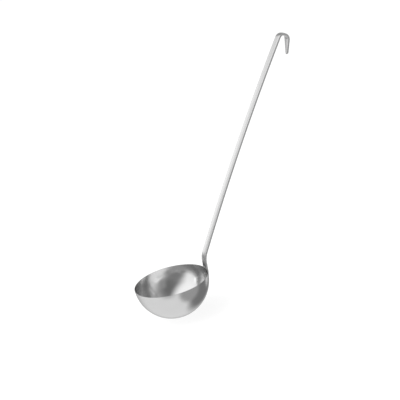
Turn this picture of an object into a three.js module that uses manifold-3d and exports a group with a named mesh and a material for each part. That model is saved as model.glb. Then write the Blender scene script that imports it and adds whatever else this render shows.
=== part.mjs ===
// A stainless steel ladle: a half-round bowl, and a flat strap handle that ends in a hanging hook.
// The strap's foot lies on the outside of the bowl and is joined to it by two spot welds.
// Millimetres. +Z is up with the bowl's mouth level, +X is the handle's side, and Y runs across the strap.
// The origin is the top of the hook's inside, where a rail carries the ladle.

import * as THREE from 'three';
import { mergeVertices } from 'three/addons/utils/BufferGeometryUtils.js';
import Module from 'manifold-3d';

// Bowl: a half sphere
const bowlDiameter = 90; // outside
const bowlWall = 1;

// Strap handle, from its foot to its tip
const strapWidth = 10;
const strapThickness = 2;
const footLength = 30; // along the bowl, below the rim
const footCornerRadius = 4;
const neckRise = 4.5; // upright stretch above the rim
const neckRadius = 25.5; // inside of the bend
const neckLean = THREE.MathUtils.degToRad(32.7);
const shankLength = 268;
const shankBow = THREE.MathUtils.degToRad(5.2); // how far the shank turns over its length
const hookRadius = 5.6; // inside of the bend
const hookTurn = THREE.MathUtils.degToRad(157.5);
const tipLength = 18;
const tipRadius = 1.9; // round end of the tapered tip

// Spot welds
const weldDiameter = 5;
const weldInset = 7.5; // from the rim, and from the foot's end
const weldShare = 0.5; // part of each sheet's thickness that the weld reaches into

// Fits
const seatGap = 0.3; // between the bowl and the strap
const weldClearance = 0.3;

// Fineness of the round shapes
const bowlSides = 64;
const bowlSteps = 8; // arcs are drawn with twice as many
const footFlats = 8;
const neckFlats = 8;
const shankFlats = 10;
const hookFlats = 20;
const weldSides = 24;
const endSteps = 8;

const bowlRadius = bowlDiameter / 2;
const halfWidth = strapWidth / 2;
const halfThickness = strapThickness / 2;

const wasm = await Module();
wasm.setup();

function toSolid(geometry) {
  const bare = geometry.clone();
  bare.deleteAttribute('normal');
  bare.deleteAttribute('uv');
  const merged = mergeVertices(bare);
  const corners = merged.index.array;
  const triangles = [];
  for (let i = 0; i < corners.length; i += 3) {
    const [a, b, c] = corners.subarray(i, i + 3);
    if (a !== b && b !== c && c !== a) {
      triangles.push(a, b, c);
    }
  }
  return new wasm.Manifold(new wasm.Mesh({
    numProp: 3,
    vertProperties: new Float32Array(merged.attributes.position.array),
    triVerts: new Uint32Array(triangles),
  }));
}

function toGeometry(solid) {
  const mesh = solid.getMesh();
  const geometry = new THREE.BufferGeometry();
  geometry.setAttribute('position', new THREE.BufferAttribute(mesh.vertProperties, 3));
  geometry.setIndex(new THREE.BufferAttribute(mesh.triVerts, 1));
  geometry.computeVertexNormals();
  return geometry;
}

// A station on the strap's centre line has a place in the XZ plane and a lean, the angle from +Z towards +X.
// bend() gives the stations of a stretch that turns evenly by an angle over its length.
function bend(from, length, turn, flats) {
  const step = turn / flats;
  const chord = turn === 0 ? length / flats : 2 * (length / turn) * Math.sin(step / 2);
  const stations = [];
  let { x, z, lean } = from;
  for (let i = 0; i < flats; i++) {
    x += chord * Math.sin(lean + step / 2);
    z += chord * Math.cos(lean + step / 2);
    lean += step;
    stations.push({ x, z, lean });
  }
  return stations;
}

// A point beside a station: positive offsets lie on the strap's outer face, away from the bowl.
function beside({ x, z, lean }, offset) {
  return new THREE.Vector2(x + offset * Math.cos(lean), z - offset * Math.sin(lean));
}

// The centre line runs up from the foot's end to the tip.
const footRadius = bowlRadius + seatGap + halfThickness;
const footAngle = footLength / footRadius;
const footEnd = {
  x: footRadius * Math.cos(footAngle),
  z: -footRadius * Math.sin(footAngle),
  lean: footAngle,
};
const foot = bend(footEnd, footLength, -footAngle, footFlats);
const neck = bend(foot.at(-1), neckRise, 0, 1);
const neckBend = bend(neck.at(-1), neckLean * (neckRadius + halfThickness), neckLean, neckFlats);
const shank = bend(neckBend.at(-1), shankLength, shankBow, shankFlats);
const hook = bend(shank.at(-1), hookTurn * (hookRadius + halfThickness), hookTurn, hookFlats);
const tip = bend(hook.at(-1), tipLength, 0, 1);
const centreLine = [footEnd, ...foot, ...neck, ...neckBend, ...shank, ...hook, ...tip];

const hookCentre = beside(shank.at(-1), hookRadius + halfThickness);
const hookSeat = new THREE.Vector3(hookCentre.x, 0, hookCentre.y + hookRadius);

// What is cut away around a shaped end of the strap. The outline starts on one side of the strap, runs
// round the end that stays, and comes back on the other side. from is the station where the shaping starts.
function endWaste(outline, from, alongStrap, length) {
  const clear = strapThickness;
  outline.lineTo(0, -halfWidth - clear);
  outline.lineTo(length + clear, -halfWidth - clear);
  outline.lineTo(length + clear, halfWidth + clear);
  outline.lineTo(0, halfWidth + clear);
  const geometry = new THREE.ExtrudeGeometry(outline, {
    depth: 2 * strapThickness,
    bevelEnabled: false,
    curveSegments: endSteps,
  });
  geometry.translate(0, 0, -strapThickness);
  const along = new THREE.Vector3(Math.sin(from.lean), 0, Math.cos(from.lean)).multiplyScalar(alongStrap);
  const across = new THREE.Vector3(0, 1, 0);
  const through = new THREE.Vector3().crossVectors(along, across);
  const place = new THREE.Matrix4().makeBasis(along, across, through).setPosition(from.x, 0, from.z);
  return toSolid(geometry.applyMatrix4(place));
}

// The tip's straight sides run in to a round end.
function tipWaste() {
  const endRadius = Math.min(tipRadius, halfWidth);
  const centre = tipLength - endRadius;
  const taper = Math.atan2(halfWidth, centre) - Math.asin(endRadius / Math.hypot(halfWidth, centre));
  const outline = new THREE.Shape();
  outline.moveTo(0, halfWidth);
  outline.absarc(centre, 0, endRadius, Math.PI / 2 - taper, taper - Math.PI / 2, true);
  outline.lineTo(0, -halfWidth);
  return endWaste(outline, hook.at(-1), 1, tipLength);
}

// The foot's end has two rounded corners.
function footWaste() {
  const radius = Math.min(footCornerRadius, halfWidth);
  const flat = halfWidth - radius;
  const start = bend(footEnd, radius, -radius / footRadius, 1).at(-1);
  const outline = new THREE.Shape();
  outline.moveTo(0, halfWidth);
  outline.absarc(0, flat, radius, Math.PI / 2, 0, true);
  outline.absarc(0, -flat, radius, 0, -Math.PI / 2, true);
  return endWaste(outline, start, -1, radius);
}

// A round plug on the line from the bowl's centre through a weld, between two distances from that centre.
function weldPlug(radius, near, far) {
  const geometry = new THREE.CylinderGeometry(radius, radius, far - near, weldSides);
  geometry.rotateZ(Math.PI / 2);
  geometry.translate((near + far) / 2, 0, 0);
  return geometry;
}

const welds = [
  { name: 'weld_nugget_upper', angle: weldInset / footRadius },
  { name: 'weld_nugget_lower', angle: (footLength - weldInset) / footRadius },
];
const weldRadius = weldDiameter / 2;
const pocketFloor = bowlRadius - weldShare * bowlWall;
const pocketRoof = bowlRadius + seatGap + weldShare * strapThickness;
const weldPockets = welds.map(({ angle }) => {
  return toSolid(weldPlug(weldRadius + weldClearance, pocketFloor, pocketRoof).rotateY(angle));
});

function makeBowl() {
  const profile = new THREE.Path();
  profile.absarc(0, 0, bowlRadius, -Math.PI / 2, 0, false);
  profile.absarc(0, 0, bowlRadius - bowlWall, 0, -Math.PI / 2, true);
  const geometry = new THREE.LatheGeometry(profile.getPoints(bowlSteps), bowlSides);
  geometry.rotateX(Math.PI / 2);
  return toGeometry(weldPockets.reduce((solid, pocket) => solid.subtract(pocket), toSolid(geometry)));
}

function makeHandle() {
  const inner = centreLine.map((station) => beside(station, -halfThickness));
  const outer = centreLine.map((station) => beside(station, halfThickness));
  const geometry = new THREE.ExtrudeGeometry(new THREE.Shape([...inner, ...outer.reverse()]), {
    depth: strapWidth,
    bevelEnabled: false,
  });
  geometry.translate(0, 0, -halfWidth);
  geometry.rotateX(Math.PI / 2);
  const cuts = [tipWaste(), footWaste(), ...weldPockets];
  return toGeometry(cuts.reduce((solid, cut) => solid.subtract(cut), toSolid(geometry)));
}

const polishedSteel = new THREE.MeshStandardMaterial({ color: 0xcfcfce, roughness: 0.28, metalness: 1 });
const brushedSteel = new THREE.MeshStandardMaterial({ color: 0xd2d2d0, roughness: 0.36, metalness: 1 });
const weldSteel = new THREE.MeshStandardMaterial({ color: 0xa9a9a6, roughness: 0.5, metalness: 1 });

function addPiece(group, name, geometry, material) {
  const piece = new THREE.Mesh(geometry, material);
  piece.name = name;
  group.add(piece);
  return piece;
}

const ladle = new THREE.Group();
ladle.position.copy(hookSeat).negate();
addPiece(ladle, 'bowl', makeBowl(), polishedSteel);
addPiece(ladle, 'handle', makeHandle(), brushedSteel);
for (const { name, angle } of welds) {
  const nugget = weldPlug(weldRadius, pocketFloor + weldClearance, pocketRoof - weldClearance);
  addPiece(ladle, name, nugget, weldSteel).rotation.y = angle;
}

export default ladle;
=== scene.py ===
import math
import bmesh
import bpy
from mathutils import Matrix, Vector


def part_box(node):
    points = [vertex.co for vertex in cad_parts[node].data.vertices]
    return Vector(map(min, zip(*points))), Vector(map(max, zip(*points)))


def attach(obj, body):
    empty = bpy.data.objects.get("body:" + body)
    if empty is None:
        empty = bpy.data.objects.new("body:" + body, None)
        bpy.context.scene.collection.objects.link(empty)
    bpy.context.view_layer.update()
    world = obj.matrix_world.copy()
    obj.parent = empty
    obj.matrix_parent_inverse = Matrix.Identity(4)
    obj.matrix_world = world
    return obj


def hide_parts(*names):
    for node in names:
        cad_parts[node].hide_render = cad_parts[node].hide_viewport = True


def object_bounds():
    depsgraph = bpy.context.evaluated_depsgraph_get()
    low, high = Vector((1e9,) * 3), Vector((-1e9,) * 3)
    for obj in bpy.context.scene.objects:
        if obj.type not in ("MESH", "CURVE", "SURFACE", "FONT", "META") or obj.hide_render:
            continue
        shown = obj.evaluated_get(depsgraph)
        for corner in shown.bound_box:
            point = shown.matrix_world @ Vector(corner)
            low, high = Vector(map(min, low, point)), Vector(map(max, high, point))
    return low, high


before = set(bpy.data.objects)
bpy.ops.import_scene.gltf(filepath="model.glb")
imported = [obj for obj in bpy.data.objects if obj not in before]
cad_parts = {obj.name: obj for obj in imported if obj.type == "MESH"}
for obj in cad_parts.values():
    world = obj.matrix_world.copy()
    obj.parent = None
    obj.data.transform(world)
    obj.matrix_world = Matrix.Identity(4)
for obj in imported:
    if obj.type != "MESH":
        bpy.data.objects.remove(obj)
cadLow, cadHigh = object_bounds()
print("frame loaded:", ", ".join(sorted(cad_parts)))


# Shape helpers

def heading(azimuth, elevation):
    # a direction from the object, in degrees: azimuth 0 is -Y and 90 is +X
    a, e = math.radians(azimuth), math.radians(elevation)
    return Vector((math.sin(a) * math.cos(e), -math.cos(a) * math.cos(e), math.sin(e)))


def spread(start, end, steps):
    # evenly spaced values, with both ends
    return [start + (end - start) * i / steps for i in range(steps + 1)]


def easeInOut(t):
    t = min(1.0, max(0.0, t))
    return t * t * (3 - 2 * t)


def arc(centre, radius, fromAngle, toAngle, steps):
    # points of a round stretch in a plane, angles in degrees
    angles = [math.radians(a) for a in spread(fromAngle, toAngle, steps)]
    return [(centre[0] + radius * math.cos(a), centre[1] + radius * math.sin(a)) for a in angles]


def bridge(rings):
    # faces between closed rings of point numbers, triangles where a ring is one point only
    faces = []
    for ring, following in zip(rings, rings[1:]):
        for i in range(len(ring)):
            n = (i + 1) % len(ring)
            corners = [ring[i], ring[n], following[n], following[i]]
            faces.append(list(dict.fromkeys(corners)))
    return faces


flatFaceWeight = 60  # over 50, so large faces lead the shading at their edges


def makePiece(name, verts, faces, place):
    mesh = bpy.data.meshes.new(name)
    mesh.from_pydata(verts, [], faces)
    work = bmesh.new()
    work.from_mesh(mesh)
    bmesh.ops.recalc_face_normals(work, faces=work.faces)
    for face in work.faces:
        face.smooth = True
    work.to_mesh(mesh)
    work.free()
    piece = bpy.data.objects.new(name, mesh)
    piece.location = place
    bpy.context.scene.collection.objects.link(piece)
    weighted = piece.modifiers.new("flatFacesStayFlat", "WEIGHTED_NORMAL")
    weighted.weight = flatFaceWeight
    return piece


# Shader helpers

def feed(tree, socket, value):
    # an input takes another node's output or a plain value
    if isinstance(value, bpy.types.NodeSocket):
        tree.links.new(value, socket)
    else:
        socket.default_value = value


def addNode(tree, kind, **inputs):
    node = tree.nodes.new(kind)
    for name, value in inputs.items():
        feed(tree, node.inputs[name], value)
    return node


def mathNode(tree, operation, first, second=0.0):
    node = tree.nodes.new("ShaderNodeMath")
    node.operation = operation
    feed(tree, node.inputs[0], first)
    feed(tree, node.inputs[1], second)
    return node.outputs[0]


def mapRange(tree, value, fromLow, fromHigh, toLow=0.0, toHigh=1.0):
    node = addNode(tree, "ShaderNodeMapRange", Value=value)
    limits = {"From Min": fromLow, "From Max": fromHigh, "To Min": toLow, "To Max": toHigh}
    for name, limit in limits.items():
        node.inputs[name].default_value = limit
    return node


def noise(tree, vector, detail, scale=1.0):
    node = addNode(tree, "ShaderNodeTexNoise", Vector=vector, Scale=scale, Detail=detail)
    return node.outputs["Fac"]


def stretched(tree, vector, scale):
    node = addNode(tree, "ShaderNodeMapping", Vector=vector, Scale=scale)
    return node.outputs["Vector"]


def mixNoise(tree, first, second, share):
    # a share of the first pattern, and the rest of the second
    some = mathNode(tree, "MULTIPLY", first, share)
    rest = mathNode(tree, "MULTIPLY", second, 1 - share)
    return mathNode(tree, "ADD", some, rest)


# Camera, set where the photograph was taken from

view = {
    "azimuth": -20.7,
    "elevation": 19.25,
    "roll": -14.1,
    "distance": 1.66,  # from the bowl's rim, in metres
    "aimRight": 0.03411,  # the picture's middle, beside and above the rim's centre
    "aimUp": 0.09556,
    "lens": 126,  # millimetres, like the sensor
    "sensor": 36,
}

# the rim's centre, from which the camera, bowl, handle and lamp are placed
bowlLow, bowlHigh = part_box("bowl")
bowlRadius = (bowlHigh.y - bowlLow.y) / 2
rimCentre = Vector(((bowlLow.x + bowlHigh.x) / 2, 0, bowlHigh.z))


def setCamera():
    back = heading(view["azimuth"], view["elevation"])
    level = Vector((0, 0, 1)).cross(back).normalized()
    tilt = Matrix.Rotation(math.radians(view["roll"]), 3, back)
    right = tilt @ level
    up = back.cross(right)
    data = bpy.data.cameras.new("photoCamera")
    data.lens = view["lens"]
    data.sensor_width = view["sensor"]
    camera = bpy.data.objects.new("photoCamera", data)
    place = rimCentre + right * view["aimRight"] + up * view["aimUp"] + back * view["distance"]
    turn = Matrix((right, up, back)).transposed()
    camera.matrix_world = Matrix.Translation(place) @ turn.to_4x4()
    bpy.context.scene.collection.objects.link(camera)
    bpy.context.scene.camera = camera


setCamera()
print("camera set")


# Spot welds: the electrodes leave two marks in each sheet

weldNodes = ("weld_nugget_upper", "weld_nugget_lower")
weldPlaces = [sum(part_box(node), Vector()) / 2 - rimCentre for node in weldNodes]
weldMarkSlope = 1.6  # over 1, so the middle of a mark is flat


def weldMark(point, sheet):
    # how far an electrode has pressed a sheet in at a point of its surface
    away = min((point - place.normalized() * point.length).length for place in weldPlaces)
    return sheet["weldMarkDepth"] * easeInOut(weldMarkSlope * (1 - away / sheet["weldMarkRadius"]))


# Bowl: half a sphere drawn from sheet, with a dressed rim

bowl = {
    "wall": 0.001,
    "rimWall": 0.0004,  # the inside opens a little towards the rim
    "openStart": 28.0,  # degrees below the rim where it starts to open, and where it is done
    "openEnd": 6.0,
    "rimRound": 0.00018,  # radius of the rim's two dressed edges
    "rimStart": 15.0,  # degrees round each of them to its first point after the wall
    "rimSteps": 5,
    "turns": 168,
    "outerRings": 44,
    "innerRings": 76,
    "weldMarkRadius": 0.0026,
    "weldMarkDepth": 0.00016,
    "weldSideTurn": 5.0,  # degrees each side of the handle that have finer steps
    "weldSideSteps": 14,
}


def bowlProfile():
    # radius and height from the outer pole, over the rim, to the inner pole
    outer, inner, rim = bowlRadius, bowlRadius - bowl["rimWall"], bowl["rimRound"]
    outerTop = -math.degrees(rim / outer)
    innerTop = -math.degrees(rim / inner)
    points = arc((0, 0), outer, -90, outerTop, bowl["outerRings"])
    points += arc((outer - rim, -rim), rim, bowl["rimStart"], 90, bowl["rimSteps"])
    points += arc((inner + rim, -rim), rim, 90, 180 - bowl["rimStart"], bowl["rimSteps"])
    for angle in spread(innerTop, -90, bowl["innerRings"]):
        opened = easeInOut((bowl["openStart"] + angle) / (bowl["openStart"] - bowl["openEnd"]))
        radius = bowlRadius - bowl["wall"] + (bowl["wall"] - bowl["rimWall"]) * opened
        a = math.radians(angle)
        points.append((radius * math.cos(a), radius * math.sin(a)))
    return points


def bowlTurns():
    # even steps round the bowl, with finer ones beside the handle
    fine = bowl["weldSideTurn"]
    coarse = spread(fine, 360 - fine, bowl["turns"])
    return spread(-fine, fine, bowl["weldSideSteps"])[:-1] + coarse[:-1]


def makeBowl():
    profile = bowlProfile()
    turns = bowlTurns()
    innerStart = len(profile) - bowl["innerRings"]
    verts = []
    rings = []
    for index, (radius, height) in enumerate(profile):
        atPole = index in (0, len(profile) - 1)
        ring = []
        for turn in turns[:1] if atPole else turns:
            a = math.radians(turn)
            point = Vector((radius * math.cos(a), radius * math.sin(a), height))
            if index >= innerStart:
                point += point.normalized() * weldMark(point, bowl)
            ring.append(len(verts))
            verts.append(point)
        rings.append(ring * len(turns) if atPole else ring)
    return makePiece("ladle_bowl", verts, bridge(rings), rimCentre)


bowlPiece = makeBowl()
print("bowl made:", len(bowlPiece.data.polygons), "faces")


# Handle: a strap whose flat shape is drawn as length s, width y and height h off its centre line

strap = {
    "width": 0.010,
    "thickness": 0.002,
    "cup": 0.0003,  # how far the strap's sides stand outwards from its middle
    "edgeRound": 0.00015,
    "edgeSteps": 4,
    "columns": 14,
    "footLength": 0.030,
    "footCorner": 0.004,
    "neckRise": 0.0045,
    "neckRadius": 0.0255,  # inside of the bend
    "neckLean": 32.7,
    "shankLength": 0.268,
    "shankBow": 5.2,
    "hookRadius": 0.0056,
    "hookTurn": 157.5,
    "tipLength": 0.018,
    "tipRadius": 0.0019,
    "seatGap": 0.0003,
    "weldMarkRadius": 0.0028,
    "weldMarkDepth": 0.00022,
    "footRows": 36,
    "riseRows": 5,
    "neckRows": 16,
    "shankRows": 66,
    "hookRows": 40,
    "tipRows": 18,
    "cornerSteps": 24,
    "firstRow": 1.08,  # in corner radii from the foot's end, where rows across the full width may start
    "footEase": 1.5,  # in corner radii, how soon the rows straighten behind the foot's end
    "tipEase": 4,  # in tip radii, the same before the tip's end
}

halfWidth = strap["width"] / 2
halfThick = strap["thickness"] / 2
footRadius = bowlRadius + strap["seatGap"] + halfThick
footAngle = strap["footLength"] / footRadius


def strapStretches():
    # length, turn and number of rows of each stretch, from the foot's end up to the tip
    neckLean = math.radians(strap["neckLean"])
    hookTurn = math.radians(strap["hookTurn"])
    return [
        (strap["footLength"], -footAngle, strap["footRows"]),
        (strap["neckRise"], 0.0, strap["riseRows"]),
        (neckLean * (strap["neckRadius"] + halfThick), neckLean, strap["neckRows"]),
        (strap["shankLength"], math.radians(strap["shankBow"]), strap["shankRows"]),
        (hookTurn * (strap["hookRadius"] + halfThick), hookTurn, strap["hookRows"]),
        (strap["tipLength"], 0.0, strap["tipRows"]),
    ]


stretches = strapStretches()
strapLength = sum(length for length, turn, rows in stretches)

# the tip's straight sides run from the full width to its round end
tipCentre = strapLength - strap["tipRadius"]
tipStart = strapLength - strap["tipLength"]
tipReach = math.hypot(halfWidth, tipCentre - tipStart)
tipTaper = math.atan2(halfWidth, tipCentre - tipStart) - math.asin(strap["tipRadius"] / tipReach)


def strapPlace(s):
    # the centre line's point and its lean from upright, s along the strap
    lean = footAngle
    x, z = footRadius * math.cos(footAngle), -footRadius * math.sin(footAngle)
    left = s
    for length, turn, rows in stretches:
        run = min(left, length)
        bend = turn / length
        after = lean + bend * run
        if bend:
            x += (math.cos(lean) - math.cos(after)) / bend
            z += (math.sin(after) - math.sin(lean)) / bend
        else:
            x += run * math.sin(lean)
            z += run * math.cos(lean)
        lean = after
        left -= run
    return x, z, lean


def strapPoint(s, y, h):
    x, z, lean = strapPlace(s)
    return Vector((x + h * math.cos(lean), y, z - h * math.sin(lean)))


def hollow(s, y):
    # the strap is rolled slightly hollow across its width, and pressed to the bowl's curve at its foot
    pressed = -halfWidth ** 2 / (2 * footRadius)
    share = easeInOut((s - strap["footLength"]) / strap["neckRise"])
    depth = pressed + (strap["cup"] - pressed) * share
    return depth * ((y / halfWidth) ** 2 - 1 / 3)  # less the mean, to stay on the centre line


def resample(points, steps):
    # evenly spaced points along a drawn line
    lengths = [0.0]
    for (s0, y0), (s1, y1) in zip(points, points[1:]):
        lengths.append(lengths[-1] + math.hypot(s1 - s0, y1 - y0))
    spaced = []
    part = 0
    for wanted in spread(0, lengths[-1], steps):
        while part < len(points) - 2 and lengths[part + 1] < wanted:
            part += 1
        share = (wanted - lengths[part]) / (lengths[part + 1] - lengths[part])
        (s0, y0), (s1, y1) = points[part], points[part + 1]
        spaced.append((s0 + (s1 - s0) * share, y0 + (y1 - y0) * share))
    return spaced


def footEnd(inset):
    # the foot's end from side to side: two round corners with a flat between them
    corner = strap["footCorner"]
    flat = halfWidth - corner
    radius = corner - inset
    low = arc((corner, -flat), radius, 270, 180, strap["cornerSteps"])
    high = arc((corner, flat), radius, 180, 90, strap["cornerSteps"])
    return resample(low + high, strap["columns"])


def tipEnd(inset):
    # the tip's round end from side to side
    reach = 90 - math.degrees(tipTaper)
    return arc((tipCentre, 0), strap["tipRadius"] - inset, -reach, reach, strap["columns"])


def sideHalf(s, inset):
    # half the strap's width at a place along its side
    taper = halfWidth - (s - tipStart) * math.tan(tipTaper) - inset / math.cos(tipTaper)
    return min(halfWidth - inset, taper)


def sideRows(inset):
    # places along the straight sides; those of the tip draw together to end where its round end starts
    rows = []
    start = 0.0
    for length, turn, count in stretches:
        rows += spread(start, start + length, count)[:-1]
        start += length
    tangent = tipCentre + (strap["tipRadius"] - inset) * math.sin(tipTaper)
    shrink = (tangent - tipStart) / strap["tipLength"]
    rows = [s if s <= tipStart else tipStart + (s - tipStart) * shrink for s in rows]
    return [s for s in rows if s > strap["footCorner"] * strap["firstRow"]]


def strapGrid(inset):
    # rows of (s, y) from the foot's end to the tip; rows near a round end bulge towards it
    foot, tip = footEnd(inset), tipEnd(inset)
    footFade = strap["footEase"] * strap["footCorner"]
    tipFade = strap["tipEase"] * strap["tipRadius"]
    grid = [foot]
    for s in sideRows(inset):
        half = sideHalf(s, inset)
        nearFoot = max(0.0, 1 - (s - strap["footCorner"]) / footFade) ** 2
        nearTip = max(0.0, 1 - (tip[0][0] - s) / tipFade) ** 2
        row = []
        for column, across in enumerate(spread(-1, 1, strap["columns"])):
            footY = foot[column][1] / (halfWidth - inset)
            tipY = tip[column][1] / tip[-1][1]
            share = across + (footY - across) * nearFoot + (tipY - across) * nearTip
            bulge = (tip[column][0] - tip[0][0]) * nearTip
            bulge -= (foot[0][0] - foot[column][0]) * nearFoot
            row.append((s + bulge, share * half))
        grid.append(row)
    return grid + [tip]


def gridRim(grid):
    # the outline of a grid, once round
    rim = list(grid[0])
    rim += [row[-1] for row in grid[1:-1]]
    rim += grid[-1][::-1]
    rim += [row[0] for row in grid[-2:0:-1]]
    return rim


def addBroadFace(verts, grid, side):
    # adds the points of the outer (1) or inner (-1) face, and gives their numbers in rows
    numbers = []
    for row in grid:
        numbers.append(list(range(len(verts), len(verts) + len(row))))
        for s, y in row:
            point = strapPoint(s, y, side * halfThick + hollow(s, y))
            if side > 0 and s < strap["footLength"]:
                point -= point.normalized() * weldMark(point, strap)
            verts.append(point)
    return numbers


def addEdgeRing(verts, inset, height):
    # adds one line of points round the strap's edge, and gives their numbers
    outline = gridRim(strapGrid(inset))
    numbers = list(range(len(verts), len(verts) + len(outline)))
    verts += [strapPoint(s, y, height + hollow(s, y)) for s, y in outline]
    return numbers


def gridFaces(rows):
    faces = []
    for row, following in zip(rows, rows[1:]):
        for c in range(len(row) - 1):
            faces.append([row[c], row[c + 1], following[c + 1], following[c]])
    return faces


def makeHandle():
    rounding = strap["edgeRound"]
    grid = strapGrid(rounding)
    verts = []
    outer = addBroadFace(verts, grid, 1)
    inner = addBroadFace(verts, grid, -1)
    # rounded edge from the outer face, down the side, to the inner face
    turns = [math.radians(turn) for turn in spread(90, 0, strap["edgeSteps"])[1:]]
    layers = [(turn, 1) for turn in turns] + [(turn, -1) for turn in turns[::-1]]
    rings = [gridRim(outer)]
    for turn, side in layers:
        height = halfThick - rounding * (1 - math.sin(turn))
        rings.append(addEdgeRing(verts, rounding * (1 - math.cos(turn)), side * height))
    rings.append(gridRim(inner))
    faces = gridFaces(outer) + gridFaces(inner) + bridge(rings)
    return makePiece("ladle_handle", verts, faces, rimCentre)


handlePiece = makeHandle()
print("handle made:", len(handlePiece.data.polygons), "faces")


# Steel: a pattern varies the grey and the roughness a little, and a relief gives the bump

noiseLow, noiseHigh = 0.35, 0.65  # where nearly all of a noise pattern lies
reliefDepth = 0.0001  # metres that a bump of strength 1 would be deep


def newMetal(name):
    material = bpy.data.materials.new(name)
    material.use_nodes = True
    shader = material.node_tree.nodes["Principled BSDF"]
    shader.inputs["Metallic"].default_value = 1.0
    return material, material.node_tree, shader


def greyBetween(tree, pattern, dark, light):
    # a neutral grey that runs between two levels
    node = addNode(tree, "ShaderNodeValToRGB", Fac=pattern)
    low, high = node.color_ramp.elements
    low.position, high.position = noiseLow, noiseHigh
    low.color = (dark, dark, dark, 1)
    high.color = (light, light, light, 1)
    return node.outputs["Color"]


def setSteel(tree, shader, pattern, relief, finish):
    grey = greyBetween(tree, pattern, finish["darkGrey"], finish["lightGrey"])
    roughness = mapRange(tree, pattern, noiseLow, noiseHigh, finish["smooth"], finish["rough"])
    bump = addNode(tree, "ShaderNodeBump", Height=relief, Strength=finish["bump"], Distance=reliefDepth)
    tree.links.new(grey, shader.inputs["Base Color"])
    tree.links.new(roughness.outputs["Result"], shader.inputs["Roughness"])
    tree.links.new(bump.outputs["Normal"], shader.inputs["Normal"])


bowlFinish = {
    "darkGrey": 0.775,
    "lightGrey": 0.825,
    "ringScale": (60, 60, 2600),  # long round the bowl, fine from rim to pole
    "ringDetail": 4,
    "ringShare": 0.55,  # of the polishing rings in the pattern, the rest is clouds
    "cloudScale": 38,
    "cloudDetail": 3,
    "smooth": 0.15,
    "rough": 0.21,
    "bump": 0.03,
}


def bowlSteel():
    material, tree, shader = newMetal("bowl_satin_steel")
    coords = addNode(tree, "ShaderNodeTexCoord").outputs["Object"]
    xyz = addNode(tree, "ShaderNodeSeparateXYZ", Vector=coords).outputs
    away = addNode(tree, "ShaderNodeVectorMath", Vector=coords)
    away.operation = "LENGTH"
    # the length down the wall takes the place of z, so the rings are as fine at the rim as at the pole
    cosine = mathNode(tree, "DIVIDE", xyz["Z"], away.outputs["Value"])
    down = mathNode(tree, "MULTIPLY", mathNode(tree, "ARCCOSINE", cosine), bowlRadius)
    onWall = addNode(tree, "ShaderNodeCombineXYZ", X=xyz["X"], Y=xyz["Y"], Z=down).outputs["Vector"]
    rings = noise(tree, stretched(tree, onWall, bowlFinish["ringScale"]), bowlFinish["ringDetail"])
    clouds = noise(tree, coords, bowlFinish["cloudDetail"], bowlFinish["cloudScale"])
    pattern = mixNoise(tree, rings, clouds, bowlFinish["ringShare"])
    setSteel(tree, shader, pattern, rings, bowlFinish)
    return material


handleFinish = {
    "darkGrey": 0.76,
    "lightGrey": 0.84,
    "brushScale": (28, 3800, 28),  # long along the strap, fine across it
    "brushDetail": 4,
    "brushShare": 0.6,  # of the brushing in the pattern, the rest is grain
    "grainScale": (140, 9000, 140),
    "grainDetail": 2,
    "smooth": 0.17,
    "rough": 0.24,
    "bump": 0.03,
}


def handleSteel():
    material, tree, shader = newMetal("handle_brushed_steel")
    coords = addNode(tree, "ShaderNodeTexCoord").outputs["Object"]
    brush = noise(tree, stretched(tree, coords, handleFinish["brushScale"]), handleFinish["brushDetail"])
    grain = noise(tree, stretched(tree, coords, handleFinish["grainScale"]), handleFinish["grainDetail"])
    pattern = mixNoise(tree, brush, grain, handleFinish["brushShare"])
    setSteel(tree, shader, pattern, pattern, handleFinish)
    return material


weldFinish = {
    "darkGrey": 0.25,
    "lightGrey": 0.42,
    "grainScale": 1400,
    "grainDetail": 5,
    "smooth": 0.42,
    "rough": 0.62,
    "bump": 0.3,
}


def weldSteel():
    material, tree, shader = newMetal("weld_fused_steel")
    coords = addNode(tree, "ShaderNodeTexCoord").outputs["Object"]
    grain = noise(tree, coords, weldFinish["grainDetail"], weldFinish["grainScale"])
    setSteel(tree, shader, grain, grain, weldFinish)
    return material


bowlPiece.data.materials.append(bowlSteel())
handlePiece.data.materials.append(handleSteel())
fusedSteel = weldSteel()
for node in weldNodes:
    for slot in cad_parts[node].material_slots:
        slot.material = fusedSteel
print("finishes set")

for piece, node, slotName in ((bowlPiece, "bowl", "bowl_steel"), (handlePiece, "handle", "handle_steel")):
    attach(piece, "root")
    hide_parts(node)
print("bowl and handle stand for their solids")


# Studio: the camera sees plain white. The metal sees that white too, with the studio's lamps, cards and
# unlit parts in front of it.

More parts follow.
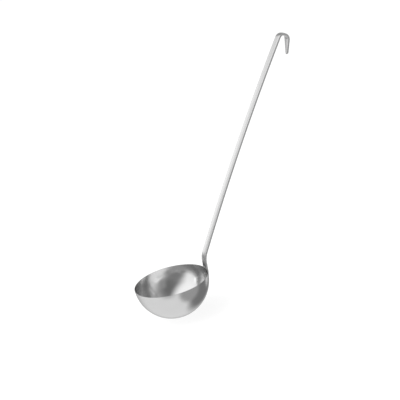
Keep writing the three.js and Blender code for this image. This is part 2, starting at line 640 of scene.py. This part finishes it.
studio = {
    "white": 1.0,
    "fill": 0.65,  # the room's level for matt surfaces, before the panels
    "panels": [  # azimuth and elevation from the camera's side, inner and outer angle in degrees, level
        (0, -90, 60, 88, 0.8),  # pale sweep under the ladle
        (160, 45, 70, 115, 0.42),  # dim end of the room
        (5, 45, 10, 55, 0.16),  # unlit ceiling behind the camera
        (-18, 5, 5, 42, 0.21),  # the camera's dark side
        (45, -5, 12, 25, 1.2),  # white card on the right
        (105, -27, 33, 55, 0.2),  # unlit floor on the right
        (50, -25, 22, 39, 0.36),  # half-lit floor beside it
        (135, -20, 4, 15, 0.65),  # small card behind
        (-90, 55, 28, 57, 1.1),  # big soft box on the left
        (-90, 0, 6, 14, 0.05),  # gap under it
        (70, 10, 5, 20, 0.7),  # far edge of the white card
        (35, 25, 3, 15, 0.3),  # its top edge
        (-88, 15, 1, 9, 1.9),  # lamp in the soft box
        (-168, 33, 8, 20, 0.3),  # unlit corner behind
        (-138, 9, 1, 15, 1.15),  # strip light, far left
        (-125, -7, 3, 10, 0.2),  # its stand
    ],
    "floorGlow": 0.86,  # what makes the floor pale to the camera, over a grey that shows a soft shadow
    "floorGrey": 0.28,
    "floorSize": 24.0,
    "lampPower": 7.0,
    "lampSize": 0.9,
    "lampDistance": 1.3,
    "lampAzimuth": -85,
    "lampElevation": 58,
}


def addPanel(tree, ray, level, panel):
    # lays one soft round panel over the room's level
    azimuth, elevation, inner, outer, panelLevel = panel
    towards = addNode(tree, "ShaderNodeVectorMath")
    towards.operation = "DOT_PRODUCT"
    feed(tree, towards.inputs[0], ray)
    feed(tree, towards.inputs[1], heading(view["azimuth"] + azimuth, elevation))
    outerCosine, innerCosine = math.cos(math.radians(outer)), math.cos(math.radians(inner))
    edge = mapRange(tree, towards.outputs["Value"], outerCosine, innerCosine)
    edge.interpolation_type = "SMOOTHSTEP"
    mix = addNode(tree, "ShaderNodeMix", Factor=edge.outputs["Result"], A=level, B=panelLevel)
    return mix.outputs["Result"]


def buildWorld():
    world = bpy.data.worlds.new("studioRoom")
    bpy.context.scene.world = world
    world.use_nodes = True
    tree = world.node_tree
    path = addNode(tree, "ShaderNodeLightPath").outputs
    mirrored = mathNode(tree, "MAXIMUM", path["Is Glossy Ray"], path["Is Transmission Ray"])
    seesWhite = mathNode(tree, "MAXIMUM", path["Is Camera Ray"], mirrored)
    room = addNode(tree, "ShaderNodeMix", Factor=seesWhite, A=studio["fill"], B=studio["white"])
    level = room.outputs["Result"]
    ray = addNode(tree, "ShaderNodeTexCoord").outputs["Generated"]
    for panel in studio["panels"]:
        level = addPanel(tree, ray, level, panel)
    shown = addNode(tree, "ShaderNodeMix", Factor=path["Is Camera Ray"], A=level, B=studio["white"])
    background = tree.nodes["Background"]
    tree.links.new(shown.outputs["Result"], background.inputs["Strength"])
    background.inputs["Color"].default_value = (1, 1, 1, 1)


def buildFloor():
    half = studio["floorSize"] / 2
    corners = [(-half, -half, 0), (half, -half, 0), (half, half, 0), (-half, half, 0)]
    mesh = bpy.data.meshes.new("studioFloor")
    mesh.from_pydata(corners, [], [(0, 1, 2, 3)])
    floor = bpy.data.objects.new("studioFloor", mesh)
    floor.location = (rimCentre.x, 0, cadLow.z)
    bpy.context.scene.collection.objects.link(floor)
    floor.visible_glossy = False  # the metal sees the room's pale sweep instead
    material = bpy.data.materials.new("paleFloor")
    material.use_nodes = True
    tree = material.node_tree
    shader = tree.nodes["Principled BSDF"]
    grey = studio["floorGrey"]
    shader.inputs["Base Color"].default_value = (grey, grey, grey, 1)
    shader.inputs["Roughness"].default_value = 1.0
    shader.inputs["Specular IOR Level"].default_value = 0.0
    shader.inputs["Emission Color"].default_value = (1, 1, 1, 1)
    seen = addNode(tree, "ShaderNodeLightPath").outputs["Is Camera Ray"]
    glow = mathNode(tree, "MULTIPLY", seen, studio["floorGlow"])
    tree.links.new(glow, shader.inputs["Emission Strength"])
    mesh.materials.append(material)


def buildLamp():
    data = bpy.data.lights.new("softBox", "AREA")
    data.shape = "DISK"
    data.size = studio["lampSize"]
    data.energy = studio["lampPower"]
    lamp = bpy.data.objects.new("softBox", data)
    towards = heading(view["azimuth"] + studio["lampAzimuth"], studio["lampElevation"])
    lamp.location = rimCentre + towards * studio["lampDistance"]
    lamp.rotation_mode = "QUATERNION"
    lamp.rotation_quaternion = towards.to_track_quat("Z", "Y")
    lamp.visible_glossy = False  # the metal shows the room's soft box instead
    bpy.context.scene.collection.objects.link(lamp)


buildWorld()
buildFloor()
buildLamp()
bpy.context.scene.view_settings.view_transform = "Standard"
print("studio built")
